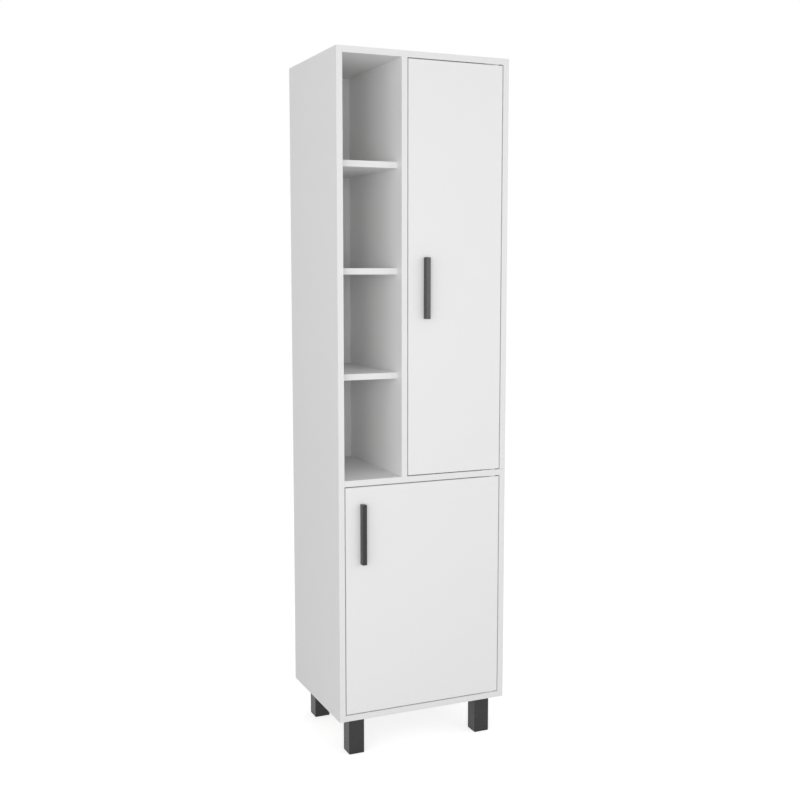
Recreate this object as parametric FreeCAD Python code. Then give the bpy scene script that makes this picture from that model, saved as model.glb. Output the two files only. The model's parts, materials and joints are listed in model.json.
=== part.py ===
import FreeCAD, Part
import os

os.makedirs("parts", exist_ok=True)

V = FreeCAD.Vector
LEFT, RIGHT = V(-1, 0, 0), V(1, 0, 0)
FRONT, REAR = V(0, -1, 0), V(0, 1, 0)
DOWN, UP = V(0, 0, -1), V(0, 0, 1)

# Tall cabinet on four legs, in millimetres. +Z is up and the doors face -Y.
# The origin is on the floor, under the middle of the whole outline, handles included.

# ---- Carcass ----
cabinet_width = 450.0
panel_depth = 342.0
carcass_height = 1610.0
lower_box_height = 597.5
panel_thickness = 15.0
back_thickness = 3.0
back_inset = 1.5
back_gap = 1.5
back_lap = 3.0
open_column_width = 149.0
seam_groove_height = 1.2
seam_groove_depth = 2.5
board_round = 0.4

# ---- Shelves ----
lowest_cubby_height = 238.2
open_shelf_pitch = 252.3
open_shelf_names = ["open_shelf_low", "open_shelf_middle", "open_shelf_high"]
closet_shelf_names = ["closet_shelf_low", "closet_shelf_high"]
shelf_setback = 30.0
shelf_side_gap = 0.5
shelf_back_gap = 1.0
shelf_dowel_inset = 55.0

# ---- Doors and pulls ----
door_thickness = 15.0
door_round = 0.8
door_gap = 2.25
handle_round = 0.8
handle_width = 11.5
handle_depth = 15.5
handle_length = 148.0
handle_wall = 2.2
handle_boss_radius = 4.0
handle_hole_spacing = 128.0
upper_handle_edge_distance = 46.5
lower_handle_edge_distance = 43.5
upper_handle_height = 455.5
lower_handle_margin = 41.5

# ---- Legs ----
leg_height = 94.0
leg_size = 40.0
leg_wall = 3.0
leg_top_plate = 4.0
leg_corner_radius = 1.5
front_leg_side_inset = 31.0
rear_leg_side_inset = 34.5
leg_front_inset = 19.0
leg_rear_inset = 22.5
glide_thickness = 3.0
glide_edge_inset = 0.5
glide_plug_height = 10.0
glide_plug_gap = 0.2
leg_screw_offset = 8.0

# ---- Door pivots ----
pivot_inset = 16.0
pivot_radius = 2.5
pivot_engagement = 9.0
running_clearance = 0.05
pivot_plate_thickness = 1.0
pivot_plate_width = 11.0
pivot_plate_corner = 2.75
pivot_plate_tail = 30.0
pivot_plate_nose = 8.0
pivot_screw_distances = [12.0, 24.0]
bushing_radius = 4.5
bushing_depth = 12.0
bushing_flange_radius = 6.5
bushing_flange_thickness = 1.0

# ---- Magnetic catches ----
catch_inset = 60.0
catch_width = 26.0
catch_depth = 15.0
catch_height = 13.0
catch_tab_width = 46.0
catch_tab_depth = 12.0
catch_tab_thickness = 3.0
catch_screw_offset = 18.0
catch_gap = 0.3
magnet_width = 18.0
magnet_depth = 11.0
magnet_height = 4.0
pole_thickness = 1.2
pole_reveal = 0.6
strike_width = 38.0
strike_height = 11.0
strike_thickness = 1.2
strike_screw_offset = 12.5

# ---- Wall brackets ----
bracket_width = 30.0
bracket_reach = 18.0
bracket_drop = 26.0
bracket_thickness = 2.0
wall_hole_radius = 2.75
wall_hole_drop = 15.0
wall_hole_spacing = 160.0

# ---- Knock-down fittings ----
cam_radius = 7.5
cam_height = 12.0
cam_distance = 34.0
cam_inset = 85.0
seam_cam_inset = 35.0
cam_mouth_radius = 3.8
cam_mouth_reach = 1.5
cam_slot_length = 8.0
cam_slot_width = 1.4
cam_slot_depth = 1.5
bolt_thread_radius = 2.5
bolt_thread_length = 11.0
bolt_shank_radius = 3.2
bolt_neck_radius = 2.0
bolt_neck_length = 5.0
bolt_head_radius = 3.2
bolt_head_length = 3.0
bolt_bore_radius = 4.0
dowel_radius = 4.0
dowel_step = 32.0
dowel_short_end = 10.0
dowel_long_end = 20.0
fitting_clearance = 0.05
blind_end_gap = 0.5

# ---- Shelf pins and nails ----
pin_radius = 2.5
pin_depth = 8.0
pin_collar_radius = 3.5
pin_collar_thickness = 1.0
pin_tongue_length = 7.0
pin_tongue_width = 6.0
pin_tongue_thickness = 2.0
pin_inset = 40.0
nail_radius = 0.8
nail_length = 16.0
nail_head_radius = 2.0
nail_head_thickness = 0.6
nail_pitch = 150.0
nail_end_distance = 40.0

# ---- Screws: shank radius, length under the surface, head radius, head height ----
small_screw = (1.6, 12.0, 3.0, 1.6)
short_screw = (1.6, 7.0, 3.0, 1.6)
leg_screw = (2.0, 15.0, 3.8, 2.4)
handle_screw_radius = 2.0
handle_screw_engagement = 9.0
handle_screw_head_radius = 4.0
handle_screw_head_height = 2.4

# ---- Planes that the pieces share ----
front = (handle_depth - panel_depth - back_thickness) / 2
rear = front + panel_depth
back = rear + back_thickness
left_outer = -cabinet_width / 2
right_outer = cabinet_width / 2
left_inner = left_outer + panel_thickness
right_inner = right_outer - panel_thickness
divider_left = left_inner + open_column_width
divider_right = divider_left + panel_thickness
carcass_bottom = leg_height
floor_top = carcass_bottom + panel_thickness
seam = carcass_bottom + lower_box_height
middle_underside = seam - panel_thickness
carcass_top = carcass_bottom + carcass_height
top_underside = carcass_top - panel_thickness
door_back = front + door_thickness
pivot_x = right_inner - door_gap - pivot_inset
pivot_y = front + door_thickness / 2

same_place = 0.01  # two coordinates closer than this are the same plane
pieces = {}
cuts = {}


def box(x, y, z):
    """A block between two limits on each axis."""
    return Part.makeBox(x[1] - x[0], y[1] - y[0], z[1] - z[0], V(x[0], y[0], z[0]))


def rod(point, direction, radius, length):
    """A cylinder that starts at a point and runs along a direction."""
    return Part.makeCylinder(radius, length, point, direction)


def taper(point, direction, first_radius, last_radius, length):
    """A cone frustum that starts at a point and runs along a direction."""
    return Part.makeCone(first_radius, last_radius, length, point, direction)


def add(name, *solids):
    """Give one or more solids to a named piece."""
    pieces.setdefault(name, []).extend(solids)


def cut(name, *tools):
    """Keep tools that are taken out of a named piece when it is finished."""
    cuts.setdefault(name, []).extend(tools)


def edges_at(shape, **place):
    """Edges that lie wholly at the given coordinates."""
    found = []
    for edge in shape.Edges:
        ends = [vertex.Point for vertex in edge.Vertexes]
        apart = [abs(getattr(end, axis) - at) for end in ends for axis, at in place.items()]
        if max(apart) < same_place:
            found.append(edge)
    return found


def upright_edges(block):
    """The four edges of a block that run along Z."""
    return [edge for edge in block.Edges if edge.BoundBox.XLength + edge.BoundBox.YLength < same_place]


def spaced(start, end, pitch):
    """Places from start to end, evenly spaced and no further apart than the pitch."""
    steps = max(1, -int(-(end - start) // pitch))
    return [start + (end - start) * step / steps for step in range(steps + 1)]


def countersunk(point, direction, size, extra=0.0):
    """A countersunk screw whose head is flush with the surface at the point."""
    shank_radius, length, head_radius, head_height = size
    head = taper(point, direction, head_radius + extra, shank_radius + extra, head_height)
    shank = rod(point, direction, shank_radius + extra, length + extra)
    return head.fuse(shank).removeSplitter()


def fix_with_screw(screw_name, point, direction, size, *held):
    """Put a countersunk screw in place and sink it into every piece that it passes."""
    add(screw_name, countersunk(point, direction, size))
    for name in held:
        cut(name, countersunk(point, direction, size, fitting_clearance))


# ---- Panels ----


def eased(board):
    """Edge banding leaves the two long front edges of a board slightly round."""
    front_edges = edges_at(board, y=board.BoundBox.YMin)
    long_edges = sorted(front_edges, key=lambda edge: edge.Length)[-2:]
    return board.makeFillet(board_round, long_edges)


def side_panels():
    """Each side is two boards, one on the other, level with the middle panel's top."""
    heights = {"lower": (carcass_bottom, seam), "upper": (seam, carcass_top)}
    for level, height in heights.items():
        left_board = box((left_outer, left_inner), (front, rear), height)
        add(f"left_{level}_side", eased(left_board))
        right_board = box((right_inner, right_outer), (front, rear), height)
        add(f"right_{level}_side", eased(grooved(right_board)))


def grooved(right_board):
    """The seam between the right side's two boards shows as a fine groove in the front edge."""
    half = seam_groove_height / 2
    groove = box((right_inner, right_outer), (front, front + seam_groove_depth), (seam - half, seam + half))
    return right_board.cut(groove)


def level_panels():
    """Top, middle and bottom boards between the sides, and the divider between two of them."""
    across = (left_inner, right_inner)
    depth = (front, rear)
    add("bottom_panel", eased(box(across, depth, (carcass_bottom, floor_top))))
    add("middle_panel", eased(box(across, depth, (middle_underside, seam))))
    add("top_panel", eased(box(across, depth, (top_underside, carcass_top))))
    add("divider_panel", eased(box((divider_left, divider_right), depth, (seam, top_underside))))


def back_panels():
    """Two thin boards nailed on the rear edges, meeting behind the middle panel's rear edge."""
    across = (left_outer + back_inset, right_outer - back_inset)
    depth = (rear, back)
    upper = (seam - back_lap, carcass_top - back_inset)
    lower = (carcass_bottom + back_inset, seam - back_lap - back_gap)
    add("upper_back_panel", box(across, depth, upper))
    add("lower_back_panel", box(across, depth, lower))
    side_middles = (left_outer + panel_thickness / 2, right_outer - panel_thickness / 2)
    divider_middle = (divider_left + divider_right) / 2
    top_middle = carcass_top - panel_thickness / 2
    seam_middle = seam - panel_thickness / 2
    bottom_middle = carcass_bottom + panel_thickness / 2
    nail_row("upper_back_panel", "left_upper_side", side_middles[0], (seam, top_middle))
    nail_row("upper_back_panel", "right_upper_side", side_middles[1], (seam, top_middle))
    nail_row("upper_back_panel", "divider_panel", divider_middle, (seam, top_underside))
    nail_row("lower_back_panel", "left_lower_side", side_middles[0], (bottom_middle, seam_middle))
    nail_row("lower_back_panel", "right_lower_side", side_middles[1], (bottom_middle, seam_middle))
    nail_line("upper_back_panel", "top_panel", top_middle)
    nail_line("lower_back_panel", "middle_panel", seam_middle)
    nail_line("lower_back_panel", "bottom_panel", bottom_middle)


def nail(back_name, board_name, x, z):
    """One nail with its head sunk flush in the back."""
    point = V(x, back, z)
    extra = fitting_clearance
    head = rod(point, FRONT, nail_head_radius, nail_head_thickness)
    shank = rod(point, FRONT, nail_radius, nail_length)
    add("back_panel_nails", head.fuse(shank).removeSplitter())
    head_hole = rod(point, FRONT, nail_head_radius + extra, nail_head_thickness)
    shank_hole = rod(point, FRONT, nail_radius + extra, nail_length + extra)
    cut(back_name, head_hole, shank_hole)
    cut(board_name, shank_hole)


def nail_row(back_name, board_name, x, height):
    """A column of nails up one upright board, clear of its ends."""
    for z in spaced(height[0] + nail_end_distance, height[1] - nail_end_distance, nail_pitch):
        nail(back_name, board_name, x, z)


def nail_line(back_name, board_name, z):
    """A row of nails along one level board, clear of its ends."""
    for x in spaced(left_inner + nail_end_distance, right_inner - nail_end_distance, nail_pitch):
        nail(back_name, board_name, x, z)


# ---- Knock-down fittings ----


def cam_joint(receiver, host, point, into, cam_side):
    """A bolt in the receiver's face, pulled by a cam nut that lies in the host's face."""
    centre = point + into * cam_distance
    mouth = centre + cam_side * (panel_thickness / 2)
    neck_start = cam_distance - bolt_head_length - bolt_neck_length
    thread = rod(point, -into, bolt_thread_radius, bolt_thread_length)
    shank = rod(point, into, bolt_shank_radius, neck_start)
    neck = rod(point + into * neck_start, into, bolt_neck_radius, bolt_neck_length)
    head = rod(centre - into * bolt_head_length, into, bolt_head_radius, bolt_head_length)
    add("cam_bolts", thread.multiFuse([shank, neck, head]).removeSplitter())
    thread_hole_depth = bolt_thread_length + blind_end_gap
    cut(receiver, rod(point, -into, bolt_thread_radius + fitting_clearance, thread_hole_depth))
    cut(host, rod(point, into, bolt_bore_radius, cam_distance))
    cut(host, rod(mouth, -cam_side, cam_radius + fitting_clearance, cam_height + blind_end_gap))
    disc = rod(mouth, -cam_side, cam_radius, cam_height)
    channel_length = cam_mouth_reach + cam_radius + blind_end_gap
    channel = rod(centre + into * cam_mouth_reach, -into, cam_mouth_radius, channel_length)
    add("cam_lock_nuts", disc.cut(channel).cut(cross_slot(mouth, cam_side, into)))


def cross_slot(mouth, outward, along):
    """The cross in a cam nut's face that takes a screwdriver."""
    other = outward.cross(along)
    bars = []
    for long_way, short_way in ((along, other), (other, along)):
        corner = mouth - long_way * (cam_slot_length / 2) - short_way * (cam_slot_width / 2)
        path = [corner, corner + long_way * cam_slot_length]
        path += [path[1] + short_way * cam_slot_width, corner + short_way * cam_slot_width, corner]
        bars.append(Part.Face(Part.makePolygon(path)).extrude(-outward * cam_slot_depth))
    return bars[0].fuse(bars[1])


def dowel_joint(receiver, host, point, into):
    """A wooden dowel, short in the receiver's face and long in the host's end."""
    length = dowel_short_end + dowel_long_end
    start = point - into * dowel_short_end
    add("wooden_dowels", rod(start, into, dowel_radius, length))
    hole_start = start - into * blind_end_gap
    hole = rod(hole_start, into, dowel_radius + fitting_clearance, length + 2 * blind_end_gap)
    cut(receiver, hole)
    cut(host, hole)


def join(receiver, host, x, z, into, cam_side, inset):
    """Two cam joints and two dowels, the same distance from the front and from the rear."""
    for end, inwards in ((front, 1), (rear, -1)):
        cam_y = end + inwards * inset
        dowel_y = cam_y + inwards * dowel_step
        cam_joint(receiver, host, V(x, cam_y, z), into, cam_side)
        dowel_joint(receiver, host, V(x, dowel_y, z), into)


def join_carcass():
    """Every corner of the carcass gets the same fittings."""
    half = panel_thickness / 2
    for level, host, cam_side in (("upper", "top_panel", UP), ("lower", "middle_panel", DOWN),
                                  ("lower", "bottom_panel", DOWN)):
        z = pieces[host][0].BoundBox.ZMin + half
        join(f"left_{level}_side", host, left_inner, z, RIGHT, cam_side, cam_inset)
        join(f"right_{level}_side", host, right_inner, z, LEFT, cam_side, cam_inset)
    middle_of_divider = divider_left + half
    join("middle_panel", "divider_panel", middle_of_divider, seam, UP, RIGHT, cam_inset)
    join("top_panel", "divider_panel", middle_of_divider, top_underside, DOWN, RIGHT, cam_inset)
    join("left_lower_side", "left_upper_side", left_outer + half, seam, UP, RIGHT, seam_cam_inset)
    join("right_lower_side", "right_upper_side", right_outer - half, seam, UP, LEFT, seam_cam_inset)


# ---- Shelves ----


def fixed_shelf(name, underside):
    """A shelf of the open column, held by two hidden dowels in each end."""
    depth = (front + shelf_setback, rear - shelf_back_gap)
    middle = underside + panel_thickness / 2
    add(name, eased(box((left_inner, divider_left), depth, (underside, underside + panel_thickness))))
    for y in (depth[0] + shelf_dowel_inset, depth[1] - shelf_dowel_inset):
        dowel_joint("left_upper_side", name, V(left_inner, y, middle), RIGHT)
        dowel_joint("divider_panel", name, V(divider_left, y, middle), LEFT)


def loose_shelf(name, limits, underside, left_board, right_board):
    """A shelf that lies on four pins and can be lifted out."""
    across = (limits[0] + shelf_side_gap, limits[1] - shelf_side_gap)
    depth = (front + shelf_setback, rear - shelf_back_gap)
    add(name, eased(box(across, depth, (underside, underside + panel_thickness))))
    for y in (depth[0] + pin_inset, depth[1] - pin_inset):
        shelf_pin(V(limits[0], y, underside), RIGHT, left_board)
        shelf_pin(V(limits[1], y, underside), LEFT, right_board)


def shelf_pin(point, out, board):
    """A peg in the board, with a collar and a flat tongue that carries the shelf."""
    axis = point - V(0, 0, pin_collar_radius)
    peg = rod(axis, -out, pin_radius, pin_depth)
    collar = rod(axis, out, pin_collar_radius, pin_collar_thickness)
    reach = point.x + out.x * pin_tongue_length
    across = (min(point.x, reach), max(point.x, reach))
    wide = (point.y - pin_tongue_width / 2, point.y + pin_tongue_width / 2)
    tongue = box(across, wide, (point.z - pin_tongue_thickness, point.z))
    add("shelf_pins", peg.multiFuse([collar, tongue]).removeSplitter())
    cut(board, rod(axis, -out, pin_radius + fitting_clearance, pin_depth + blind_end_gap))


def shelves():
    """Three shelves in the open column, two in the closet and one below."""
    for number, name in enumerate(open_shelf_names):
        fixed_shelf(name, seam + lowest_cubby_height + number * open_shelf_pitch)
    closet = (divider_right, right_inner)
    count = len(closet_shelf_names)
    bay = (top_underside - seam - count * panel_thickness) / (count + 1)
    for number, name in enumerate(closet_shelf_names, 1):
        underside = seam + number * bay + (number - 1) * panel_thickness
        loose_shelf(name, closet, underside, "divider_panel", "right_upper_side")
    lower_limits = (left_inner, right_inner)
    underside = (floor_top + middle_underside - panel_thickness) / 2
    loose_shelf("lower_shelf", lower_limits, underside, "left_lower_side", "right_lower_side")


# ---- Doors ----


def door(level, across, height, handle_edge_distance, handle_height):
    """An inset door with its pull, pivots and strike plate. The free edge is on the left."""
    name = f"{level}_door"
    board = box(across, (front, door_back), height)
    add(name, board.makeFillet(door_round, edges_at(board, y=front)))
    handle(level, across[0] + handle_edge_distance, handle_height)
    pivot(level, height[0], DOWN, {"upper": "middle_panel", "lower": "bottom_panel"}[level])
    pivot(level, height[1], UP, {"upper": "top_panel", "lower": "middle_panel"}[level])
    catch(level, across[0] - door_gap + catch_inset, height[1] + door_gap)


def handle(level, x, z):
    """A hollow square pull on the door's face, held by two screws from inside."""
    across = (x - handle_width / 2, x + handle_width / 2)
    depth = (front - handle_depth, front)
    height = (z - handle_length / 2, z + handle_length / 2)
    block = box(across, depth, height)
    seat = edges_at(block, y=front)
    rounded = [edge for edge in block.Edges if not any(edge.isSame(other) for other in seat)]
    body = block.makeFillet(handle_round, rounded)
    hollow_x = (across[0] + handle_wall, across[1] - handle_wall)
    hollow_z = (height[0] + handle_wall, height[1] - handle_wall)
    body = body.cut(box(hollow_x, (depth[0] + handle_wall, depth[1]), hollow_z))
    for side in (-1, 1):
        seat_point = V(x, front, z + side * handle_hole_spacing / 2)
        boss = rod(seat_point, FRONT, handle_boss_radius, handle_depth - handle_wall)
        body = body.fuse(boss)
        handle_screw(level, seat_point)
    add(f"{level}_handle", body.removeSplitter())


def handle_screw(level, seat_point):
    """A pan-head screw through the door into the pull's boss."""
    length = door_thickness + handle_screw_engagement
    start = seat_point + REAR * door_thickness
    head = rod(start, REAR, handle_screw_head_radius, handle_screw_head_height)
    shank = rod(start, FRONT, handle_screw_radius, length)
    add(f"{level}_handle_screws", head.fuse(shank).removeSplitter())
    hole = rod(start, FRONT, handle_screw_radius + fitting_clearance, length + blind_end_gap)
    cut(f"{level}_door", hole)
    cut(f"{level}_handle", hole)


def pivot(level, door_end, out, board):
    """A pin on a steel plate on the board, running in a bushing in the door's end."""
    seat = V(pivot_x, pivot_y, door_end + out.z * door_gap)
    plate_z = sorted((seat.z, seat.z - out.z * pivot_plate_thickness))
    plate_x = (pivot_x - pivot_plate_tail, pivot_x + pivot_plate_nose)
    plate_y = (pivot_y - pivot_plate_width / 2, pivot_y + pivot_plate_width / 2)
    plate = box(plate_x, plate_y, plate_z)
    add("pivot_plates", plate.makeFillet(pivot_plate_corner, upright_edges(plate)))
    pin_length = door_gap + pivot_engagement
    add("pivot_pins", rod(seat, -out, pivot_radius, pin_length))
    cut("pivot_plates", rod(seat, -out, pivot_radius, pivot_plate_thickness))
    for distance in pivot_screw_distances:
        point = V(pivot_x - distance, pivot_y, seat.z - out.z * pivot_plate_thickness)
        fix_with_screw("pivot_plate_screws", point, out, short_screw, "pivot_plates", board)
    bushing(level, V(pivot_x, pivot_y, door_end), out)


def bushing(level, point, out):
    """A flanged bushing pressed into the door's end."""
    body = rod(point, -out, bushing_radius, bushing_depth)
    flange = rod(point, out, bushing_flange_radius, bushing_flange_thickness)
    bore_start = point + out * bushing_flange_thickness
    bore_length = bushing_flange_thickness + pivot_engagement + blind_end_gap
    bore = rod(bore_start, -out, pivot_radius + running_clearance, bore_length)
    add(f"{level}_door_bushings", body.fuse(flange).removeSplitter().cut(bore))
    cut(f"{level}_door", rod(point, -out, bushing_radius, bushing_depth + blind_end_gap))


def catch(level, x, ceiling):
    """A magnetic catch under the board above the door, and its strike plate on the door."""
    board = {"upper": "top_panel", "lower": "middle_panel"}[level]
    strike_back = door_back + strike_thickness
    pole_front = strike_back + catch_gap
    housing_front = pole_front + pole_reveal
    housing = box((x - catch_width / 2, x + catch_width / 2),
                  (housing_front, housing_front + catch_depth), (ceiling - catch_height, ceiling))
    tabs = box((x - catch_tab_width / 2, x + catch_tab_width / 2),
               (housing_front, housing_front + catch_tab_depth), (ceiling - catch_tab_thickness, ceiling))
    pocket_z = ceiling - catch_height + (catch_height - magnet_height) / 2 - pole_thickness
    stack = magnet_height + 2 * pole_thickness
    across = (x - magnet_width / 2, x + magnet_width / 2)
    pocket = box(across, (housing_front, housing_front + magnet_depth), (pocket_z, pocket_z + stack))
    add("magnetic_catches", housing.fuse(tabs).removeSplitter().cut(pocket))
    magnet_z = (pocket_z + pole_thickness, pocket_z + pole_thickness + magnet_height)
    add("catch_magnets", box(across, (housing_front, housing_front + magnet_depth), magnet_z))
    for low in (pocket_z, magnet_z[1]):
        pole = box(across, (pole_front, housing_front + magnet_depth), (low, low + pole_thickness))
        add("catch_pole_plates", pole)
    for side in (-1, 1):
        point = V(x + side * catch_screw_offset, housing_front + catch_tab_depth / 2,
                  ceiling - catch_tab_thickness)
        fix_with_screw("catch_screws", point, UP, small_screw, "magnetic_catches", board)
    strike_middle = ceiling - catch_height / 2
    strike_z = (strike_middle - strike_height / 2, strike_middle + strike_height / 2)
    strike = box((x - strike_width / 2, x + strike_width / 2), (door_back, strike_back), strike_z)
    add(f"{level}_strike_plate", strike)
    for side in (-1, 1):
        point = V(x + side * strike_screw_offset, strike_back, strike_middle)
        fix_with_screw(f"{level}_strike_screws", point, FRONT, small_screw,
                       f"{level}_strike_plate", f"{level}_door")


def doors():
    """A tall door on the closet and a wide one on the lower compartment."""
    upper_z = (seam + door_gap, top_underside - door_gap)
    lower_z = (floor_top + door_gap, middle_underside - door_gap)
    right_edge = right_inner - door_gap
    upper_x = (divider_right + door_gap, right_edge)
    door("upper", upper_x, upper_z, upper_handle_edge_distance, upper_z[0] + upper_handle_height)
    lower_handle_z = lower_z[1] - lower_handle_margin - handle_length / 2
    door("lower", (left_inner + door_gap, right_edge), lower_z, lower_handle_edge_distance, lower_handle_z)


# ---- Legs ----


def leg(name, x, y):
    """A hollow square leg under a corner, with its glide and two screws. x and y are its middle."""
    half = leg_size / 2
    post = box((x - half, x + half), (y - half, y + half), (glide_thickness, carcass_bottom))
    post = post.makeFillet(leg_corner_radius, upright_edges(post))
    hollow = half - leg_wall
    hollow_top = carcass_bottom - leg_top_plate
    post = post.cut(box((x - hollow, x + hollow), (y - hollow, y + hollow), (0, hollow_top)))
    add(name, post)
    foot = half - glide_edge_inset
    plug = hollow - glide_plug_gap
    sole = box((x - foot, x + foot), (y - foot, y + foot), (0, glide_thickness))
    plug_z = (glide_thickness, glide_thickness + glide_plug_height)
    add("leg_glides", sole.fuse(box((x - plug, x + plug), (y - plug, y + plug), plug_z)).removeSplitter())
    for side in (-1, 1):
        point = V(x + side * leg_screw_offset, y + side * leg_screw_offset, hollow_top)
        fix_with_screw("leg_screws", point, UP, leg_screw, name, "bottom_panel")


def legs():
    """Four legs, set in from the carcass's edges, the rear pair a little more than the front pair."""
    front_reach = cabinet_width / 2 - front_leg_side_inset - leg_size / 2
    rear_reach = cabinet_width / 2 - rear_leg_side_inset - leg_size / 2
    front_y = front + leg_front_inset + leg_size / 2
    rear_y = rear - leg_rear_inset - leg_size / 2
    leg("front_left_leg", -front_reach, front_y)
    leg("front_right_leg", front_reach, front_y)
    leg("rear_left_leg", -rear_reach, rear_y)
    leg("rear_right_leg", rear_reach, rear_y)


# ---- Wall brackets ----


def wall_brackets():
    """Two angle brackets in the closet's top corner, with holes for screws into a wall."""
    closet_middle = (divider_right + right_inner) / 2
    for side in (-1, 1):
        x = closet_middle + side * wall_hole_spacing / 2
        across = (x - bracket_width / 2, x + bracket_width / 2)
        flat = box(across, (rear - bracket_reach, rear), (top_underside - bracket_thickness, top_underside))
        upright = box(across, (rear - bracket_thickness, rear), (top_underside - bracket_drop, top_underside))
        add("wall_brackets", flat.fuse(upright).removeSplitter())
        hole = rod(V(x, back, top_underside - wall_hole_drop), FRONT, wall_hole_radius,
                   back_thickness + bracket_thickness)
        cut("wall_brackets", hole)
        cut("upper_back_panel", hole)
        point = V(x, rear - bracket_reach / 2, top_underside - bracket_thickness)
        fix_with_screw("wall_bracket_screws", point, UP, small_screw, "wall_brackets", "top_panel")


def finish(name):
    """Take the kept tools out of a piece's solids and write the piece to its own file."""
    solids = []
    for solid in pieces[name]:
        reach = solid.BoundBox
        tools = [tool for tool in cuts.get(name, []) if reach.intersect(tool.BoundBox)]
        solids += (solid.cut(tools) if tools else solid).Solids
    shape = solids[0] if len(solids) == 1 else Part.makeCompound(solids)
    shape.exportStep(f"parts/{name}.step")


side_panels()
level_panels()
back_panels()
join_carcass()
shelves()
doors()
legs()
wall_brackets()
for piece_name in pieces:
    finish(piece_name)
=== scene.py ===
# %% [markdown]
# # A tall bathroom cabinet
# The cabinet is a flat-pack one: white melamine boards, two inset doors with charcoal pulls, an
# open column of shelves and four charcoal legs. Its boards and fittings already exist at their
# measured size, so this lesson dresses them: light, camera, surface finishes and the small
# turned, stamped and moulded details that a drawing leaves plain. Every length here is in metres.

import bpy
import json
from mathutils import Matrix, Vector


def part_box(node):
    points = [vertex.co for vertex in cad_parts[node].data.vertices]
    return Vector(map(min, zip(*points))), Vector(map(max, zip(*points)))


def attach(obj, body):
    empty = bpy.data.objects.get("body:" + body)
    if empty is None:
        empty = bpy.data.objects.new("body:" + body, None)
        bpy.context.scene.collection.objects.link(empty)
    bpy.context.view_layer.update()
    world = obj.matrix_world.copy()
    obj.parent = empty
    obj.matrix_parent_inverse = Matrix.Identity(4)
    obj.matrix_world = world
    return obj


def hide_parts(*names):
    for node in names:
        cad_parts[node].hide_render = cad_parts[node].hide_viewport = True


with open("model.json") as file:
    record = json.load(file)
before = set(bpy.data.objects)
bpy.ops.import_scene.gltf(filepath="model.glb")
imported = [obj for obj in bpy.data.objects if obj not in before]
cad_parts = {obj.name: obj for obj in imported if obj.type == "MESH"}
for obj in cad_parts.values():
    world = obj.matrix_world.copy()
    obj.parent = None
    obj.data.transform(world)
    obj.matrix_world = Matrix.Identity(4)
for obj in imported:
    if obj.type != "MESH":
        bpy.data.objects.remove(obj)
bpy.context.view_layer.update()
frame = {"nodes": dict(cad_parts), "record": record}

# %% [markdown]
# Meshes could be written as long lists of corners and faces. Here they are made with bmesh,
# Blender's own modelling operators, because a reader can follow an extrusion or a bevel, but not
# such a list.

# %% Blender's own modules
import json
from math import cos, pi, radians, sin

import bmesh
import bpy
from mathutils import Matrix, Vector

scene = bpy.context.scene
nodes = frame["nodes"]
print("materials already here:", len(bpy.data.materials))

# %% [markdown]
# ## The camera
# The picture was taken from the left of the cabinet, a little above its middle. Lens, place and
# angles could be guessed by eye, but a camera solved from the cabinet's own edges lands each
# corner on its pixel, so those solved numbers are typed in. The lens is written as pixels of
# focal length first, because that is what such a solution gives, and then turned into
# millimetres.

# %% Camera
image_width = 800
focal_length_in_pixels = 1141.241
sensor_width = 36.0
camera_place = Vector((-1.1643, -2.67765, 1.1916))
turned_right = 0.4122
tipped_down = 0.113

camera_data = bpy.data.cameras.new("camera")
camera_data.sensor_width = sensor_width
camera_data.lens = focal_length_in_pixels / image_width * sensor_width
camera = bpy.data.objects.new("camera", camera_data)
camera.location = camera_place
camera.rotation_euler = (pi / 2 - tipped_down, 0, -turned_right)
scene.collection.objects.link(camera)
scene.camera = camera
print("lens:", round(camera_data.lens, 2), "mm")

# %% [markdown]
# ## A small kit for node trees
# Every finish below is a handful of nodes. They could be placed by hand in the node editor, but a
# script can be read and run again. One helper adds a node: a socket that is given another node's
# output is linked to it, and any other value is typed into the socket.

# %% Adding nodes
def add_node(tree, kind, sockets=None, **settings):
    """One new node, with its settings made and its sockets linked or filled."""
    made = tree.nodes.new(kind)
    for setting, value in settings.items():
        setattr(made, setting, value)
    for socket, value in (sockets or {}).items():
        if isinstance(value, bpy.types.NodeSocket):
            tree.links.new(value, made.inputs[socket])
        else:
            made.inputs[socket].default_value = value
    return made


def math(tree, operation, first, second=0.0, third=0.0):
    """The result of one sum or comparison."""
    sockets = {0: first, 1: second, 2: third}
    return add_node(tree, "ShaderNodeMath", sockets, operation=operation).outputs[0]


def vector_math(tree, operation, first, second):
    """The same for three numbers at once."""
    sockets = {0: first, 1: second}
    return add_node(tree, "ShaderNodeVectorMath", sockets, operation=operation).outputs[0]


def split(tree, vector):
    """The three numbers of a vector, by their letters."""
    return add_node(tree, "ShaderNodeSeparateXYZ", {0: vector}).outputs


print("sums, comparisons and vectors ready")

# %% [markdown]
# Grain is noise, measured in metres, so a speck keeps its size on every piece.

# %% Grain, range, mix and relief
# A mix node keeps sockets for every kind of value, so its colour ones go by their numbers.
share_socket, first_colour, second_colour, mixed_colour = 0, 6, 7, 2


def grain(tree, place, size, detail=2.0, stretch=(1, 1, 1)):
    """Noise whose specks are about this size in metres, drawn out along an axis by stretch."""
    narrowed = [1 / pull for pull in stretch]
    mapped = add_node(tree, "ShaderNodeMapping", {"Vector": place, "Scale": narrowed})
    sockets = {"Vector": mapped.outputs[0], "Scale": 1 / size, "Detail": detail}
    return add_node(tree, "ShaderNodeTexNoise", sockets).outputs[0]


def spread(tree, value, low, high, from_low=0.0, from_high=1.0):
    """The value laid out afresh between two limits."""
    limits = {"From Min": from_low, "From Max": from_high, "To Min": low, "To Max": high}
    return add_node(tree, "ShaderNodeMapRange", {"Value": value} | limits).outputs[0]


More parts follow.
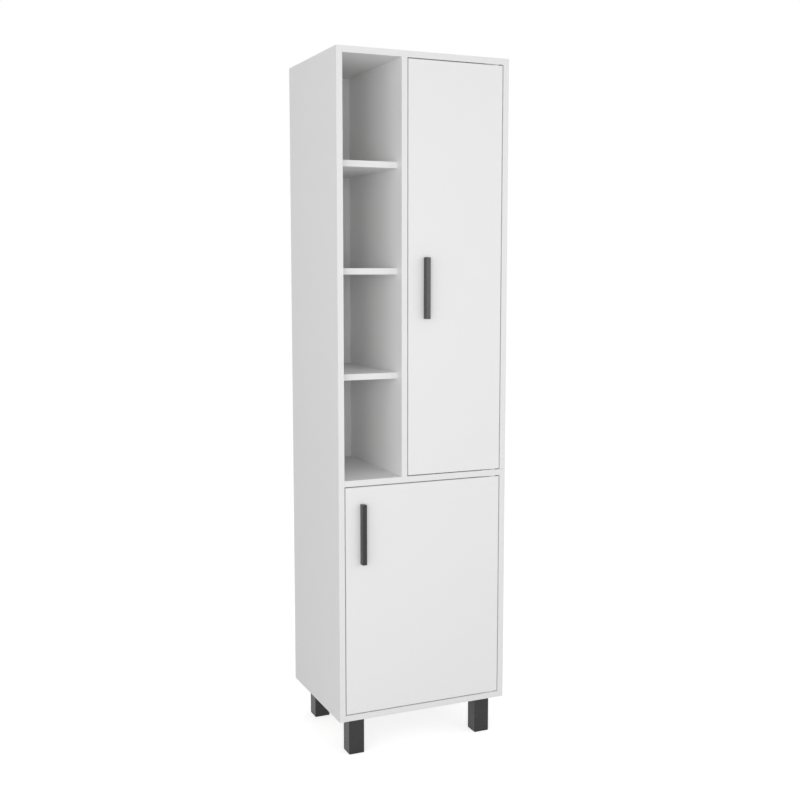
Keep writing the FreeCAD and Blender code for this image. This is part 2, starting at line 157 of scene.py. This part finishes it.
def mix_colours(tree, share, first, second):
    """Two colours mixed by a share from 0 to 1."""
    sockets = {share_socket: share, first_colour: first, second_colour: second}
    return add_node(tree, "ShaderNodeMix", sockets, data_type="RGBA").outputs[mixed_colour]


def relief(tree, height, depth, strength=1.0):
    """A surface normal that follows a height, up to a depth in metres."""
    sockets = {"Height": height, "Distance": depth, "Strength": strength}
    return add_node(tree, "ShaderNodeBump", sockets).outputs[0]


print("textures ready")

# %% [markdown]
# A finish starts as a bare shader and the place of each point on its piece. Places could come
# from an unwrapped surface, but flat boards and small fittings need none: the object's own
# coordinates are already metres. Each finish then gives the shader a colour, a roughness and a
# relief.

# %% Starting and wearing a finish
def new_finish(name):
    """An empty finish: the material, its tree, its shader and the place on the piece in metres."""
    material = bpy.data.materials.new(name)
    material.use_nodes = True
    tree = material.node_tree
    tree.nodes.clear()
    shader = add_node(tree, "ShaderNodeBsdfPrincipled")
    add_node(tree, "ShaderNodeOutputMaterial", {"Surface": shader.outputs[0]})
    place = add_node(tree, "ShaderNodeTexCoord").outputs["Object"]
    return material, tree, shader, place


def give(tree, shader, colour, roughness, normal):
    """Link the three looks that every finish here has."""
    for socket, look in (("Base Color", colour), ("Roughness", roughness), ("Normal", normal)):
        tree.links.new(look, shader.inputs[socket])


def wear(piece, material):
    """The piece takes this finish all over."""
    piece.data.materials.clear()
    piece.data.materials.append(material)


print("finish helpers ready")

# %% [markdown]
# ## Studio
# The cabinet stands in a white studio: nothing but white shows behind it, yet its boards still go
# from bright fronts to greyer sides. Light bright enough to burn the backdrop out would burn the
# boards out too. So the lighting sky stays soft grey, and only rays that look at the backdrop, or
# mirror it, find it white.

# %% Sky
sky_light = 0.525
plain_white = (1, 1, 1, 1)

world = bpy.data.worlds.new("studio_sky")
world.use_nodes = True
sky = world.node_tree
sky.nodes.clear()


def seen(tree):
    """Two switches: 1 for rays from the eye, and 1 for rays mirrored or sent on by glass."""
    path = add_node(tree, "ShaderNodeLightPath").outputs
    mirrored = math(tree, "MAXIMUM", path["Is Glossy Ray"], path["Is Transmission Ray"])
    return path["Is Camera Ray"], mirrored


sky_strength = spread(sky, math(sky, "MAXIMUM", *seen(sky)), sky_light, 1.0)
background = add_node(sky, "ShaderNodeBackground", {"Color": plain_white, "Strength": sky_strength})
add_node(sky, "ShaderNodeOutputWorld", {"Surface": background.outputs[0]})
scene.world = world
print("sky light:", sky_light)

# %% [markdown]
# The floor is white too. It is a matt sheet that catches the cabinet's soft shadow. A little
# glow, seen only by the eye, lifts its open parts to the backdrop's white and leaves the shadow
# grey. Glossy things see a weaker glow, just enough to make the floor that they mirror white and
# no brighter.

# %% Floor
floor_reach = 9.0
floor_white = (0.7, 0.7, 0.7, 1)
floor_lift = 0.66
mirrored_lift = 0.45

floor_mesh = bpy.data.meshes.new("studio_floor")
sheet = bmesh.new()
bmesh.ops.create_grid(sheet, x_segments=1, y_segments=1, size=floor_reach)
sheet.to_mesh(floor_mesh)
sheet.free()
floor = bpy.data.objects.new("studio_floor", floor_mesh)
scene.collection.objects.link(floor)

floor_finish = bpy.data.materials.new("matt_white_floor")
floor_finish.use_nodes = True
tree = floor_finish.node_tree
tree.nodes.clear()
straight, mirrored = seen(tree)
straight_lift = math(tree, "MULTIPLY", straight, floor_lift)
lift = math(tree, "MULTIPLY_ADD", mirrored, mirrored_lift, straight_lift)
matt = add_node(tree, "ShaderNodeBsdfDiffuse", {"Color": floor_white})
glow = add_node(tree, "ShaderNodeEmission", {"Strength": lift})
both = add_node(tree, "ShaderNodeAddShader", {0: matt.outputs[0], 1: glow.outputs[0]})
add_node(tree, "ShaderNodeOutputMaterial", {"Surface": both.outputs[0]})
wear(floor, floor_finish)
print("floor:", 2 * floor_reach, "m across")

# %% [markdown]
# Four soft boxes do the rest. The front one is the strongest: it stands left of the camera,
# reaches into the open column and leaves it darker towards the back. The left one lights the
# cabinet's left side, and a weak one on the right softens the shadows beside the pulls. The last
# is a narrow strip: the upper pull mirrors it and shines paler than the lower pull, which mirrors
# the floor. Lamps could be points, but large boxes keep every shadow's edge soft. Each box's
# power is worked out from the brightness of its face.

# %% Soft boxes
cabinet_middle = Vector((0, -0.16, 0.9))


def soft_box(name, place, width, height, brightness):
    """A rectangular lamp that faces the cabinet, with a face of the given brightness."""
    lamp = bpy.data.lights.new(name, "AREA")
    lamp.shape = "RECTANGLE"
    lamp.size = width
    lamp.size_y = height
    lamp.energy = brightness * width * height * pi
    box = bpy.data.objects.new(name, lamp)
    box.location = place
    box.rotation_euler = (cabinet_middle - Vector(place)).to_track_quat("-Z", "Y").to_euler()
    scene.collection.objects.link(box)
    print(name, round(lamp.energy, 1), "W")


soft_box("left_box", (-3.0, -2.5, 1.6), width=2.6, height=2.6, brightness=1.215)
soft_box("front_box", (-1.95, -3.92, 1.12), width=2.2, height=1.7, brightness=3.7)
soft_box("right_box", (2.9, -2.3, 1.6), width=1.9, height=1.5, brightness=1.26)
soft_box("strip_box", (1.35, -3.1, 1.12), width=0.5, height=0.9, brightness=5.6)

# %% [markdown]
# ## Raw particle board
# Under its white skin each board is pressed wood chips of many browns. They show where a drill or
# a saw opened the board, and along the edges that face the wall. A picture of chips could be laid
# on, but a cell texture gives flat chips at their true size on every cut, whichever way it faces.

# %% Chips
chip_pale = (0.56, 0.40, 0.24, 1)
chip_dark = (0.22, 0.13, 0.07, 1)
chips_per_metre = 550.0
mottle_size = 0.0011
mottle_low, mottle_high = 0.5, 1.6


def chips(tree, place):
    """The colour of raw particle board: flat wood chips of many browns."""
    sockets = {"Vector": place, "Scale": chips_per_metre, "Randomness": 1.0}
    flakes = add_node(tree, "ShaderNodeTexVoronoi", sockets)
    mottle = grain(tree, place, mottle_size, detail=3.0)
    mottle = spread(tree, mottle, mottle_low, mottle_high)
    share = math(tree, "MULTIPLY", flakes.outputs["Distance"], mottle)
    return mix_colours(tree, share, chip_pale, chip_dark)


print("chip size:", round(1000 / chips_per_metre, 1), "mm")

# %% [markdown]
# ## White melamine
# Two sheets of white melamine paper are pressed on the chips. The press leaves a pearl texture,
# far finer than a millimetre, and a satin gloss. The edges carry a separate band of the same
# white, glued on, so a hair line runs half a millimetre in from each corner. The band is painted
# a little greyer than the paper. That is painted shade for the set-back front edges of the open
# shelves, and it greys every other banded edge too.
#
# Each of these could be a material of its own, with faces picked by hand. One function makes them
# all instead. It knows the board's own corners, so it tells a face from a banded edge, a raw edge
# and the wall of a bore by how far a point lies under each side.

# %% Which part of a board is this
band_thickness = 0.0005
line_half_width = 0.00007
bore_depth = 0.0008
touching = 0.00005


def nearest(tree, depths):
    """The smallest of several depths."""
    smallest = depths[0]
    for depth in depths[1:]:
        smallest = math(tree, "MINIMUM", smallest, depth)
    return smallest


def parts_of_board(tree, place, board, banded_sides, raw_sides):
    """Three switches: 1 on the banded edges, 1 on the glue line, and 1 where the chips show."""
    lowest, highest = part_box(board)
    from_low = split(tree, vector_math(tree, "SUBTRACT", place, lowest))
    from_high = split(tree, vector_math(tree, "SUBTRACT", highest, place))
    under = {"left": from_low["X"], "front": from_low["Y"], "foot": from_low["Z"]}
    under |= {"right": from_high["X"], "rear": from_high["Y"], "head": from_high["Z"]}
    raw = math(tree, "GREATER_THAN", nearest(tree, list(under.values())), bore_depth)
    for side in raw_sides:
        raw = math(tree, "MAXIMUM", raw, math(tree, "LESS_THAN", under[side], touching))
    from_band = nearest(tree, [under[side] for side in banded_sides])
    banded = math(tree, "LESS_THAN", from_band, band_thickness)
    on_line = math(tree, "COMPARE", from_band, band_thickness, line_half_width)
    return banded, on_line, raw


print("edge band:", 1000 * band_thickness, "mm")

# %% [markdown]
# The finish then mixes paper, band, glue line and chips by those three switches. Paper is never
# one flat white: its tone and its gloss drift a little over the board, and the pearl is a very
# low relief.

# %% Melamine finish
melamine_white = (0.86, 0.86, 0.858, 1)
shaded_white = (0.847, 0.847, 0.845, 1)
# Painted shade: the band colour is a little greyer than the paper, standing in for the shade on the
# shelves' set-back edges.
painted_shade_band_white = (0.825, 0.825, 0.822, 1)
glue_line = (0.60, 0.585, 0.56, 1)
line_strength = 0.8
tone_size, gloss_size, pearl_size = 0.35, 0.06, 0.0009
satin_low, satin_high = 0.46, 0.54
band_polish = 0.05
raw_roughness = 0.9
pearl_depth = 0.00004
pearl_strength = 0.35


def melamine(name, board, banded_sides, raw_sides):
    """White board whose faces, banded edges, bores and raw edges each look like themselves."""
    material, tree, shader, place = new_finish(name)
    banded, on_line, raw = parts_of_board(tree, place, board, banded_sides, raw_sides)
    paper = mix_colours(tree, grain(tree, place, tone_size), melamine_white, shaded_white)
    # The banded edges take the greyer band colour, which is painted shade for the shelves' set-back
    # edges.
    skin = mix_colours(tree, banded, paper, painted_shade_band_white)
    skin = mix_colours(tree, math(tree, "MULTIPLY", on_line, line_strength), skin, glue_line)
    colour = mix_colours(tree, raw, skin, chips(tree, place))

    satin = spread(tree, grain(tree, place, gloss_size, detail=3.0), satin_low, satin_high)
    satin = math(tree, "SUBTRACT", satin, math(tree, "MULTIPLY", banded, band_polish))
    roughness = math(tree, "MAXIMUM", satin, math(tree, "MULTIPLY", raw, raw_roughness))
    pearl = relief(tree, grain(tree, place, pearl_size), pearl_depth, pearl_strength)
    give(tree, shader, colour, roughness, pearl)
    return material


print("melamine ready")

# %% [markdown]
# Only edges that can be seen are banded, as in the factory: the front edge of a fixed board, that
# edge and the upper end of a side, and all four edges of a door. The rear edges and the feet of
# the sides stay raw. Each board gets a finish of its own, because each has its own corners.

# %% Boards
slot_of = {part["node"]: part["material_slot"] for part in frame["record"]["subparts"]}
board_names = [node for node, slot in slot_of.items() if slot == "white_board"]
for board in board_names:
    if board.endswith("_door"):
        banded_sides, raw_sides = ["left", "right", "foot", "head"], []
    elif board.endswith("_upper_side"):
        banded_sides, raw_sides = ["front", "head"], ["rear"]
    elif board.endswith("_lower_side"):
        banded_sides, raw_sides = ["front"], ["rear", "foot"]
    else:
        banded_sides, raw_sides = ["front"], ["rear"]
    wear(nodes[board], melamine(board + "_melamine", board, banded_sides, raw_sides))
print("boards dressed:", len(board_names))

# %% [markdown]
# ## The thin back
# The back is three millimetres of hardboard. Its inner face has one coat of white lacquer, duller
# than melamine; the face towards the wall and the sawn edges stay bare, brown and fibrous. Two
# materials could be given face by face, but the depth in the cabinet already tells the sides
# apart.

# %% Hardboard
lacquer_white = (0.83, 0.83, 0.825, 1)
fibre_pale = (0.36, 0.235, 0.14, 1)
fibre_dark = (0.24, 0.145, 0.08, 1)
fibre_size, felt_size = 0.004, 0.0016
upright_fibres = (1.0, 1.0, 2.5)
fibre_contrast = (0.35, 0.65)
lacquer_roughness, fibre_roughness = 0.62, 0.78
felt_depth = 0.00012
felt_strength = 0.5


def hardboard(name, inner_face):
    """Lacquered white on the inner face, bare fibre elsewhere."""
    material, tree, shader, place = new_finish(name)
    depth = math(tree, "SUBTRACT", split(tree, place)["Y"], inner_face)
    bare = math(tree, "GREATER_THAN", depth, touching)
    fibres = grain(tree, place, fibre_size, detail=6.0, stretch=upright_fibres)
    brown_share = spread(tree, fibres, 0.0, 1.0, *fibre_contrast)
    brown = mix_colours(tree, brown_share, fibre_pale, fibre_dark)
    colour = mix_colours(tree, bare, lacquer_white, brown)
    roughness = spread(tree, bare, lacquer_roughness, fibre_roughness)
    felt = relief(tree, grain(tree, place, felt_size, detail=4.0), felt_depth, felt_strength)
    give(tree, shader, colour, roughness, felt)
    return material


for back in ("upper_back_panel", "lower_back_panel"):
    wear(nodes[back], hardboard(back + "_hardboard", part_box(back)[0].y))
print("backs dressed: 2")

# %% [markdown]
# ## Charcoal plastic
# Pulls and legs are moulded from one charcoal plastic. The mould is spark-eroded, which gives a
# very fine matt grain, and the plastic itself has faint flow clouds. The gloss could be painted
# in as lighter patches, but it comes from the shader: such a dark body shows little but what it
# reflects, so its sides look paler than its front, from wherever it is seen.

# %% Charcoal
charcoal = (0.027, 0.027, 0.028, 1)
charcoal_cloud = (0.030, 0.030, 0.031, 1)
flow_size, eroded_size = 0.03, 0.0004
eroded_strength = 0.5


def moulded(name, colour, cloud, low_roughness, high_roughness, grain_depth, shine=0.5):
    """Moulded plastic with flow clouds and a fine eroded grain."""
    material, tree, shader, place = new_finish(name)
    shader.inputs["Specular IOR Level"].default_value = shine
    clouds = grain(tree, place, flow_size)
    roughness = spread(tree, clouds, low_roughness, high_roughness)
    eroded = relief(tree, grain(tree, place, eroded_size), grain_depth, eroded_strength)
    give(tree, shader, mix_colours(tree, clouds, colour, cloud), roughness, eroded)
    return material


def dress(slot, material):
    """Every piece of one stuff takes its finish."""
    named = [node for node in slot_of if slot_of[node] == slot]
    for node in named:
        wear(nodes[node], material)
    print(material.name, "on", len(named), "pieces")


charcoal_plastic = moulded(
    "charcoal_plastic", charcoal, charcoal_cloud,
    low_roughness=0.26, high_roughness=0.28, grain_depth=0.000004, shine=0.44,
)
dress("dark_plastic", charcoal_plastic)

# %% [markdown]
# ## White plastic
# The magnetic catches and the bushings in the door ends are small white mouldings, glossier than
# the boards and a little creamier. They leave the same kind of mould as the pulls, so the same
# function makes their finish, and only the colours, the gloss and the depth of the grain differ.

# %% White mouldings
cream_white = (0.80, 0.80, 0.785, 1)
cream_cloud = (0.77, 0.77, 0.75, 1)

white_plastic = moulded(
    "white_plastic", cream_white, cream_cloud,
    low_roughness=0.28, high_roughness=0.36, grain_depth=0.00001,
)
dress("white_plastic", white_plastic)

# %% [markdown]
# ## Zinc-plated steel
# Screws, cam fittings, pins and plates are steel under bright zinc. One flat metal would do from
# afar, but the plating is never quite even: it has cloudy patches with a slightly blue tone, and
# a fine scratch or two from the box of fittings. The scratches are noise drawn out along the
# height.

# %% Zinc
zinc_pale = (0.66, 0.67, 0.69, 1)
zinc_dark = (0.50, 0.52, 0.55, 1)
patch_size, scratch_width = 0.0025, 0.0003
along_the_height = (1.0, 1.0, 12.0)
bright_roughness, dull_roughness = 0.22, 0.42
scratch_depth = 0.00002
scratch_strength = 0.4


def zinc_plated(name):
    """Bright zinc with cloudy patches and fine scratches."""
    material, tree, shader, place = new_finish(name)
    shader.inputs["Metallic"].default_value = 1.0
    patches = grain(tree, place, patch_size, detail=4.0)
    colour = mix_colours(tree, patches, zinc_pale, zinc_dark)
    roughness = spread(tree, patches, bright_roughness, dull_roughness)
    lines = grain(tree, place, scratch_width, stretch=along_the_height)
    scratches = relief(tree, lines, scratch_depth, scratch_strength)
    give(tree, shader, colour, roughness, scratches)
    return material


zinc_steel = zinc_plated("zinc_steel")
dress("zinc_steel", zinc_steel)

# %% [markdown]
# ## Beech dowels
# The dowels are turned beech: pale, straight-grained wood with short dark flecks along the grain.
# A wave texture would give rings that are too regular, so the grain is noise drawn out along X,
# which is the way that the dowels lie.

# %% Beech
beech_pale = (0.62, 0.43, 0.26, 1)
beech_dark = (0.50, 0.33, 0.19, 1)
beech_fleck = (0.30, 0.17, 0.09, 1)
ring_width, fleck_width = 0.0016, 0.0007
long_rings, short_flecks = (14.0, 1.0, 1.0), (6.0, 1.0, 1.0)
fleck_contrast = (0.6, 0.7)
fleck_strength = 0.5
smooth_wood, rough_wood = 0.55, 0.7
ring_depth = 0.0001
ring_strength = 0.5


def beech(name):
    """Beech with its grain along X, as the dowels lie."""
    material, tree, shader, place = new_finish(name)
    rings = grain(tree, place, ring_width, detail=4.0, stretch=long_rings)
    flecks = grain(tree, place, fleck_width, detail=1.0, stretch=short_flecks)
    flecks = spread(tree, flecks, 0.0, 1.0, *fleck_contrast)
    wood = mix_colours(tree, rings, beech_pale, beech_dark)
    wood = mix_colours(tree, math(tree, "MULTIPLY", flecks, fleck_strength), wood, beech_fleck)
    roughness = spread(tree, rings, smooth_wood, rough_wood)
    give(tree, shader, wood, roughness, relief(tree, rings, ring_depth, ring_strength))
    return material


dress("dowel_wood", beech("beech"))

# %% [markdown]
# ## Ferrite magnets
# The magnets are black ferrite, a pressed ceramic that looks like slate. A plain black would look
# like a hole in the catch, so fine paler specks and a low relief give the pressed grains.

# %% Ferrite
ferrite_black = (0.012, 0.012, 0.013, 1)
ferrite_speck = (0.045, 0.045, 0.048, 1)
speck_size = 0.0003
smooth_ferrite, rough_ferrite = 0.4, 0.6
speck_depth = 0.00004
speck_strength = 0.6


def ferrite(name):
    """Black pressed ceramic with a fine sparkle."""
    material, tree, shader, place = new_finish(name)
    specks = grain(tree, place, speck_size)
    colour = mix_colours(tree, specks, ferrite_black, ferrite_speck)
    roughness = spread(tree, specks, smooth_ferrite, rough_ferrite)
    give(tree, shader, colour, roughness, relief(tree, specks, speck_depth, speck_strength))
    return material


dress("magnet", ferrite("ferrite"))
print("finishes in all:", len(bpy.data.materials))

# %% [markdown]
# ## Screws
# Every screw here takes a cross-tip driver: a pan head holds each pull, and countersunk heads
# hold the plates, catches, brackets and legs. Their places could be typed in again, but their
# plain outlines are in the measured model, so each screw is found there. A node holds several
# loose solids; walking from corner to joined corner sorts them out.

# %% Sorting out loose solids
same_corner = 1e-6


def merged_copy(node):
    """A measured node as one joined mesh, free to be changed."""
    copy = bmesh.new()
    copy.from_mesh(nodes[node].data)
    bmesh.ops.remove_doubles(copy, verts=copy.verts, dist=same_corner)
    return copy


def loose_solids(node):
    """The corners of each separate solid of a measured node."""
    copy = merged_copy(node)
    solids = []
    met = set()
    for first in copy.verts:
        if first.index in met:
            continue
        met.add(first.index)
        waiting, corners = [first], []
        while waiting:
            vert = waiting.pop()
            corners.append(vert.co.copy())
            for edge in vert.link_edges:
                other = edge.other_vert(vert)
                if other.index not in met:
                    met.add(other.index)
                    waiting.append(other)
        solids.append(corners)
    copy.free()
    return solids


print("screws on the upper pull:", len(loose_solids("upper_handle_screws")))

# %% [markdown]
# The wider end of each solid is its head. From there the outline is read off: how wide the screw
# is at each depth. The new screw is turned to that same outline, so it fits the same hole.

# %% Where a screw lies
height_digits = 5


def lie_of(corners):
    """Where a turned solid lies: its wide end's middle, the way out of that end, and its outline.

    The outline gives the widest radius at each depth under the wide end.
    """
    lowest = Vector([min(corner[axis] for corner in corners) for axis in range(3)])
    highest = Vector([max(corner[axis] for corner in corners) for axis in range(3)])
    size = highest - lowest
    axis = max(range(3), key=lambda number: size[number])
    middle = (lowest + highest) / 2
    radii = {}
    for corner in corners:
        from_line = corner - middle
        from_line[axis] = 0.0
        height = round(corner[axis] - lowest[axis], height_digits)
        radii[height] = max(radii.get(height, 0.0), from_line.length)
    way_out = Vector((0, 0, 0))
    way_out[axis] = 1.0 if radii[max(radii)] > radii[min(radii)] else -1.0
    top = middle + way_out * size[axis] / 2
    top_height = size[axis] if way_out[axis] > 0 else 0
    outline = {}
    for height, radius in radii.items():
        outline[round(abs(height - top_height), height_digits)] = radius
    return top, way_out, sorted(outline.items())


print("pan-head screws:", lie_of(loose_solids("upper_handle_screws")[0])[2])

# %% [markdown]
# The cross recess could be cut with a boolean, but that leaves long thin faces. Here the head
# grows round the recess instead: a small square grid, with the cross of faces in its middle sunk
# and narrowed. An extrusion of faces leaves the old faces in place, so they are taken out.

# %% Cross recess
grid_steps = 8
arm_steps = 3
recess_taper = 0.55
corner_kind, edge_kind = bmesh.types.BMVert, bmesh.types.BMEdge


def only(kind, things):
    """The corners, or the edges, out of all that an operator made."""
    return [thing for thing in things if isinstance(thing, kind)]


def cross_recess(screw, reach, depth):
    """A flat square grid with a cross sunk in it."""
    bmesh.ops.create_grid(screw, x_segments=grid_steps, y_segments=grid_steps, size=reach)
    step = 2 * reach / grid_steps
    arms = []
    for face in screw.faces:
        place = face.calc_center_median()
        near, far = sorted((abs(place.x), abs(place.y)))
        if near < step and far < arm_steps * step:
            arms.append(face)
    sunk = only(corner_kind, bmesh.ops.extrude_face_region(screw, geom=arms)["geom"])
    bmesh.ops.delete(screw, geom=arms, context="FACES")
    bmesh.ops.scale(screw, verts=sunk, vec=(recess_taper, recess_taper, 1))
    bmesh.ops.translate(screw, verts=sunk, vec=(0, 0, -depth))


print("a head has", grid_steps * 4, "corners round its recess")

# %% [markdown]
# The grid's rim is extruded once and drawn out to a circle. A bridge to a new circle would do it
# too, but two rings in one plane can be joined the wrong way round. The rest of the head and the
# shank is that circle, extruded from station to station like a turned part.

# %% Head and shank
def to_circle(piece, radius):
    """Extrude the open rim of a flat shape, draw it out to a circle and give the circle's edges."""
    rim = [edge for edge in piece.edges if edge.is_boundary]
    made = bmesh.ops.extrude_edge_only(piece, edges=rim)["geom"]
    for corner in only(corner_kind, made):
        corner.co.xy = radius * corner.co.xy.normalized()
    return only(edge_kind, made)


def turn(piece, ring, stations):
    """Extrude an open ring through stations, each a radius and a depth, and close the end."""
    for radius, depth in stations:
        made = bmesh.ops.extrude_edge_only(piece, edges=ring)["geom"]
        corners, ring = only(corner_kind, made), only(edge_kind, made)
        growth = radius / corners[0].co.xy.length
        bmesh.ops.scale(piece, verts=corners, vec=(growth, growth, 1))
        bmesh.ops.translate(piece, verts=corners, vec=(0, 0, -depth - corners[0].co.z))
    bmesh.ops.holes_fill(piece, edges=ring, sides=0)


print("turning tools ready")

# %% [markdown]
# A pan head is flat in its middle and rolls over to its rim; a countersunk head has only a thin
# lip before its cone. Both end where the shank begins, and that depth is read from the outline.

# %% Two kinds of head
pan_flat_share = 0.8
pan_roll_share = 0.7
roll_steps = 4
sunk_flat_share = 0.96
sunk_lip_share = 0.04
wider_than_shank = 1.01


def head_depth_of(outline, crest, domed):
    """The depth at which the head ends."""
    head = [depth for depth, radius in outline if radius > wider_than_shank * crest]
    shank = [depth for depth, radius in outline if radius <= wider_than_shank * crest]
    return max(head) if domed else min(shank)


def head_stations(head_radius, flat_radius, head_depth, domed):
    """The stations from the head's flat top out to its widest ring."""
    if not domed:
        return [(head_radius, sunk_lip_share * head_radius)]
    bend = [pi / 2 * step / roll_steps for step in range(1, roll_steps + 1)]
    swell, sag = head_radius - flat_radius, pan_roll_share * head_depth
    rolled = [(flat_radius + swell * sin(angle), sag * (1 - cos(angle))) for angle in bend]
    return rolled + [(head_radius, head_depth)]


print("head kinds: pan and countersunk")

# %% [markdown]
# The thread is the classic use of spin: a small triangle beside the shank goes round the axis
# and, at each step, a little along it. A Screw modifier winds a thread too, but round one axis
# only, and one piece here holds several screws. The boards hide the thread, but a screw that is
# taken out shows it.

# %% Thread
thread_pitch = 0.0012
thread_steps = 12
root_share = 0.95


def thread(screw, core, crest, start, end):
    """A ridge that winds along the shank from one depth to another."""
    root = core * root_share
    tip, foot = -start - thread_pitch / 4, -start - thread_pitch / 2
    corners = [(root, 0, -start), (crest, 0, tip), (root, 0, foot)]
    profile = screw.faces.new([screw.verts.new(corner) for corner in corners])
    turns = (end - start) / thread_pitch - 1
    steps = int(turns * thread_steps)
    climb = (0, 0, -thread_pitch / thread_steps)
    bmesh.ops.spin(
        screw, geom=[profile], cent=(0, 0, 0), axis=(0, 0, 1), dvec=climb, angle=2 * pi * turns,
        steps=steps, use_merge=False, use_duplicate=False,
    )


print("thread pitch:", 1000 * thread_pitch, "mm")

# %% [markdown]
# A whole screw is its recess, its head, a core that narrows to a blunt tip, and the thread round
# the core. Ridge and core are two closed shapes that run into each other, which is simpler than
# one joined skin and looks the same.

# %% Whole screw
core_share = 0.72
point_share = 2
tip_share = 0.15
grid_share = 0.64
recess_share = 0.8


def cross_screw(outline, domed):
    """A whole screw, head up, with the middle of its top at the origin."""
    head_radius = outline[0][1]
    length, crest = outline[-1]
    core = core_share * crest
    head_depth = head_depth_of(outline, crest, domed)
    flat_radius = (pan_flat_share if domed else sunk_flat_share) * head_radius
    screw = bmesh.new()
    cross_recess(screw, grid_share * flat_radius, recess_share * head_depth)
    ring = to_circle(screw, flat_radius)
    stations = head_stations(head_radius, flat_radius, head_depth, domed)
    stations += [(core, head_depth), (core, length - point_share * core)]
    stations += [(tip_share * core, length)]
    turn(screw, ring, stations)
    thread(screw, core, crest, head_depth, length - core)
    bmesh.ops.recalc_face_normals(screw, faces=screw.faces)
    return screw


print("core:", core_share, "of the thread's radius")

# %% [markdown]
# ## Pieces that stand for measured ones
# A finished piece stays at the origin, with its place in its mesh. It says which body it rides on
# and which measured node it stands for. Faces are smooth across soft bends and break at sharp
# ones.

# %% Making a piece
crease = radians(35)
no_bend = 0.0


def make_piece(name, made, material, body, replaced, sharp_from=crease):
    """The mesh becomes a piece: it rides on its body and stands for a measured node."""
    for face in made.faces:
        face.smooth = True
    for edge in made.edges:
        edge.smooth = edge.calc_face_angle(no_bend) < sharp_from
    data = bpy.data.meshes.new(name)
    made.to_mesh(data)
    made.free()
    piece = bpy.data.objects.new(name, data)
    scene.collection.objects.link(piece)
    wear(piece, material)
    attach(piece, body)
    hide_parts(replaced)
    return piece


print("a bend of", round(crease, 2), "radians is sharp")

# %% [markdown]
# Each screw is turned and moved before it joins the others of its node. They could all be copies
# of one, but no two crosses stop at the same angle, because nobody tightens screws to a drawing.

# %% Screws in their places
cross_turn = 0.9


def put_together(shapes):
    """Several shapes in one."""
    whole = bmesh.new()
    for shape in shapes:
        part = bpy.data.meshes.new("part")
        shape.to_mesh(part)
        shape.free()
        whole.from_mesh(part)
        bpy.data.meshes.remove(part)
    return whole


def upright_to(top, way_out, spin_angle):
    """The move from head up at the origin to the screw's own place."""
    lean = way_out.to_track_quat("Z", "Y").to_matrix().to_4x4()
    return Matrix.Translation(top) @ lean @ Matrix.Rotation(spin_angle, 4, "Z")


bodies = frame["record"]["behaviour"]["bodies"]
body_of = {node: body for body, members in bodies.items() for node in members}
for node in [name for name in sorted(nodes) if name.endswith("_screws")]:
    placed = []
    for number, corners in enumerate(loose_solids(node)):
        top, way_out, outline = lie_of(corners)
        screw = cross_screw(outline, domed="handle" in node)
        move = upright_to(top, way_out, cross_turn * number)
        bmesh.ops.transform(screw, matrix=move, verts=screw.verts)
        placed.append(screw)
    whole = put_together(placed)
    make_piece(node + "_driven", whole, zinc_steel, body_of[node], node)
    print(node, len(placed), "screws on", body_of[node])

# %% [markdown]
# ## Softened fittings
# Strike plates, pivot plates and wall brackets are stamped and tumbled, and the catches are
# moulded, so none of them has a knife edge: a fine round along each edge catches the light when a
# door is open. A Bevel modifier would trip over the loose triangles of a measured mesh. So a copy
# is merged, its flat triangles are dissolved into whole faces, and only the edges that stand out
# are bevelled.

# %% Softened edges
flat_within = radians(1)
round_steps = 2


def softened(node, round_size):
    """A copy of a measured node with a fine round along each edge that stands out."""
    copy = merged_copy(node)
    bmesh.ops.dissolve_limit(copy, angle_limit=flat_within, verts=copy.verts, edges=copy.edges)
    bent = [edge for edge in copy.edges if edge.calc_face_angle(no_bend) > crease]
    standing_out = [edge for edge in bent if edge.is_convex]
    bmesh.ops.bevel(
        copy, geom=standing_out, offset=round_size, offset_type="OFFSET", segments=round_steps,
        profile=0.5, affect="EDGES", clamp_overlap=True, material=-1,
    )
    return copy


print("each round has", round_steps, "faces across")

# %% [markdown]
# How far an edge is rounded follows the stock: the thin pivot plates least, the moulded catches
# most. These pieces are shaded flat. Smooth shading would bend the light on a wide plate towards
# its narrow rounds, and draw a slanting shade across a face that is really flat.

# %% Fittings with softened edges
edge_rounds = {
    "pivot_plates": 0.00015, "upper_strike_plate": 0.0003, "lower_strike_plate": 0.0003,
    "wall_brackets": 0.0004, "magnetic_catches": 0.0005,
}
always_sharp = 0.0
finish_of = {"zinc_steel": zinc_steel, "white_plastic": white_plastic}

for node, round_size in edge_rounds.items():
    slot = slot_of[node]
    piece = make_piece(
        node + "_softened", softened(node, round_size), finish_of[slot], body_of[node], node,
        sharp_from=always_sharp,
    )
    print(piece.name, len(piece.data.polygons), "faces")

# %% [markdown]
# ## Picture settings
# The plain colour transform shows each colour as it is written.

# %% Picture settings
scene.view_settings.view_transform = "Standard"
